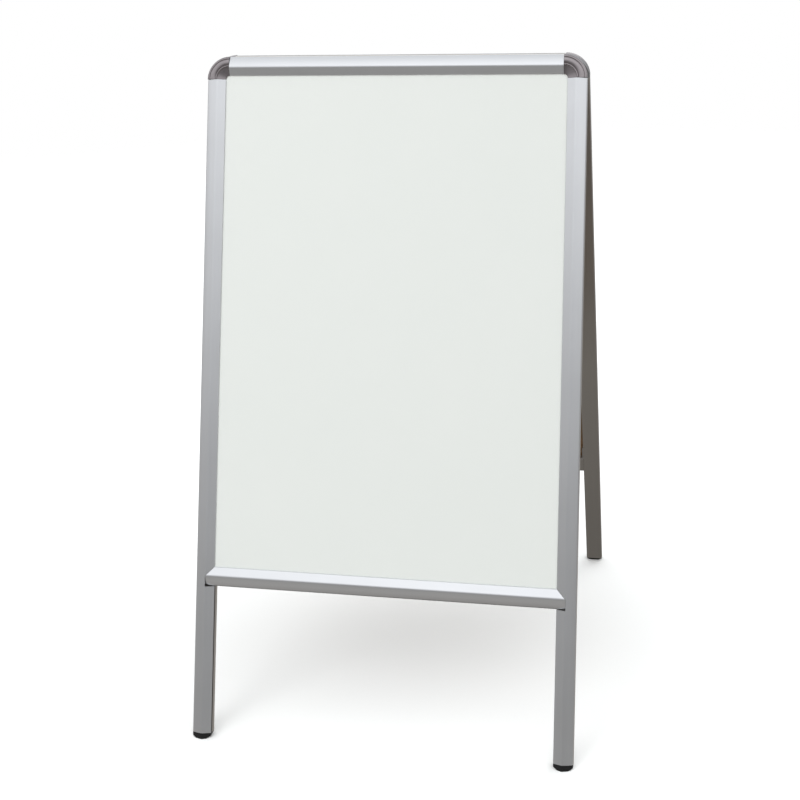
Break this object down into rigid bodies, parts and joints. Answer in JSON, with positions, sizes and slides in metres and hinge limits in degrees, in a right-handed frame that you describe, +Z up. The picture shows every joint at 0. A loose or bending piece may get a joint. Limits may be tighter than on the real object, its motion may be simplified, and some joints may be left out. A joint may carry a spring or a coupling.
{
  "type": "sandwich board",
  "caption": "Folding sandwich board: two aluminium snap frames on legs, hinged along the top, each holding a poster sheet.",
  "frame": {"origin": "on the ground, midway between the four feet with the board standing open", "axes": "+Z up, +X to the right along the fold axis seen from the front, the front frame faces -Y"},
  "size_m": [0.638, 0.6666, 1.0942],
  "materials": {
    "base_aluminium": "satin anodised",
    "cover_aluminium": "silver anodised",
    "dark_chrome": "dark plated, polished",
    "cast_joint": "moulded",
    "zinc_steel": "zinc plated",
    "spring_steel": "tempered",
    "hardboard": "pressed hardboard",
    "poster_paper": "plain white",
    "clear_plastic": "clear anti-glare sheet",
    "black_plastic": "moulded, slightly shiny"
  },
  "bodies": {
    "front_frame": {"front_left_leg": "base_aluminium", "front_right_leg": "base_aluminium", "front_top_rail": "base_aluminium", "front_bottom_rail": "base_aluminium", "front_left_corner_cap": "dark_chrome", "front_right_corner_cap": "dark_chrome", "front_corner_joints": "cast_joint", "front_corner_screws": "zinc_steel", "front_rail_brackets": "zinc_steel", "front_bracket_rivets": "zinc_steel", "front_back_panel": "hardboard", "front_poster_sheet": "poster_paper", "front_clear_cover": "clear_plastic", "front_cover_springs": "spring_steel", "front_left_foot": "black_plastic", "front_right_foot": "black_plastic", "front_hinge_leaves": "zinc_steel", "front_hinge_rivets": "zinc_steel", "front_stay_rivets": "zinc_steel", "hinge_pins": "zinc_steel"},
    "rear_frame": {"rear_left_leg": "base_aluminium", "rear_right_leg": "base_aluminium", "rear_top_rail": "base_aluminium", "rear_bottom_rail": "base_aluminium", "rear_left_corner_cap": "dark_chrome", "rear_right_corner_cap": "dark_chrome", "rear_corner_joints": "cast_joint", "rear_corner_screws": "zinc_steel", "rear_rail_brackets": "zinc_steel", "rear_bracket_rivets": "zinc_steel", "rear_back_panel": "hardboard", "rear_poster_sheet": "poster_paper", "rear_clear_cover": "clear_plastic", "rear_cover_springs": "spring_steel", "rear_left_foot": "black_plastic", "rear_right_foot": "black_plastic", "rear_hinge_leaves": "zinc_steel", "rear_hinge_rivets": "zinc_steel", "rear_stay_rivets": "zinc_steel"},
    "front_left_cover": {"front_left_cover": "cover_aluminium"},
    "front_right_cover": {"front_right_cover": "cover_aluminium"},
    "front_top_cover": {"front_top_cover": "cover_aluminium"},
    "front_bottom_cover": {"front_bottom_cover": "cover_aluminium"},
    "rear_left_cover": {"rear_left_cover": "cover_aluminium"},
    "rear_right_cover": {"rear_right_cover": "cover_aluminium"},
    "rear_top_cover": {"rear_top_cover": "cover_aluminium"},
    "rear_bottom_cover": {"rear_bottom_cover": "cover_aluminium"},
    "left_front_link": {"left_front_stay_link": "zinc_steel", "left_front_knuckle_rivet": "zinc_steel"},
    "left_rear_link": {"left_rear_stay_link": "zinc_steel", "left_rear_knuckle_rivet": "zinc_steel"},
    "right_front_link": {"right_front_stay_link": "zinc_steel", "right_front_knuckle_rivet": "zinc_steel"},
    "right_rear_link": {"right_rear_stay_link": "zinc_steel", "right_rear_knuckle_rivet": "zinc_steel"}
  },
  "joints": [
    {"name": "fold", "type": "hinge", "parent": "front_frame", "child": "rear_frame", "pos_m": [0, 0, 1.08149], "axis": [-1, 0, 0], "range_deg": [0, 32]},
    {"name": "front_left_cover_snap", "type": "hinge", "parent": "front_frame", "child": "front_left_cover", "pos_m": [-0.316, -0.16824, 0.55028], "axis": [0, -0.2756, -0.9613], "range_deg": [0, 85], "stiffness_Nm_per_rad": 0.25, "springref_deg": -34.38},
    {"name": "front_right_cover_snap", "type": "hinge", "parent": "front_frame", "child": "front_right_cover", "pos_m": [0.316, -0.16824, 0.55028], "axis": [0, 0.2756, 0.9613], "range_deg": [0, 85], "stiffness_Nm_per_rad": 0.25, "springref_deg": -34.38},
    {"name": "front_top_cover_snap", "type": "hinge", "parent": "front_frame", "child": "front_top_cover", "pos_m": [0, -0.01333, 1.09051], "axis": [-1, 0, 0], "range_deg": [0, 85], "stiffness_Nm_per_rad": 0.25, "springref_deg": -34.38},
    {"name": "front_bottom_cover_snap", "type": "hinge", "parent": "front_frame", "child": "front_bottom_cover", "pos_m": [0, -0.25561, 0.24556], "axis": [1, 0, 0], "range_deg": [0, 70], "stiffness_Nm_per_rad": 0.25, "springref_deg": -34.38},
    {"name": "rear_left_cover_snap", "type": "hinge", "parent": "rear_frame", "child": "rear_left_cover", "pos_m": [-0.316, 0.16824, 0.55028], "axis": [0, -0.2756, 0.9613], "range_deg": [0, 85], "stiffness_Nm_per_rad": 0.25, "springref_deg": -34.38},
    {"name": "rear_right_cover_snap", "type": "hinge", "parent": "rear_frame", "child": "rear_right_cover", "pos_m": [0.316, 0.16824, 0.55028], "axis": [0, 0.2756, -0.9613], "range_deg": [0, 85], "stiffness_Nm_per_rad": 0.25, "springref_deg": -34.38},
    {"name": "rear_top_cover_snap", "type": "hinge", "parent": "rear_frame", "child": "rear_top_cover", "pos_m": [0, 0.01333, 1.09051], "axis": [1, 0, 0], "range_deg": [0, 85], "stiffness_Nm_per_rad": 0.25, "springref_deg": -34.38},
    {"name": "rear_bottom_cover_snap", "type": "hinge", "parent": "rear_frame", "child": "rear_bottom_cover", "pos_m": [0, 0.25561, 0.24556], "axis": [-1, 0, 0], "range_deg": [0, 70], "stiffness_Nm_per_rad": 0.25, "springref_deg": -34.38},
    {"name": "left_front_stay_swing", "type": "hinge", "parent": "front_frame", "child": "left_front_link", "pos_m": [-0.2855, -0.11804, 0.69922], "axis": [1, 0, 0], "range_deg": [0, 70.12]},
    {"name": "left_rear_stay_swing", "type": "hinge", "parent": "rear_frame", "child": "left_rear_link", "pos_m": [-0.2833, 0.11804, 0.69922], "axis": [-1, 0, 0], "range_deg": [0, 70.12]},
    {"name": "right_front_stay_swing", "type": "hinge", "parent": "front_frame", "child": "right_front_link", "pos_m": [0.2855, -0.11804, 0.69922], "axis": [1, 0, 0], "range_deg": [0, 70.12]},
    {"name": "right_rear_stay_swing", "type": "hinge", "parent": "rear_frame", "child": "right_rear_link", "pos_m": [0.2833, 0.11804, 0.69922], "axis": [-1, 0, 0], "range_deg": [0, 70.12]}
  ],
  "couplings": [
    {"joint": "left_front_stay_swing", "follows": "fold", "ratio": 2.1895},
    {"joint": "left_rear_stay_swing", "follows": "fold", "ratio": 2.1895},
    {"joint": "right_front_stay_swing", "follows": "fold", "ratio": 2.1895},
    {"joint": "right_rear_stay_swing", "follows": "fold", "ratio": 2.1895}
  ]
}
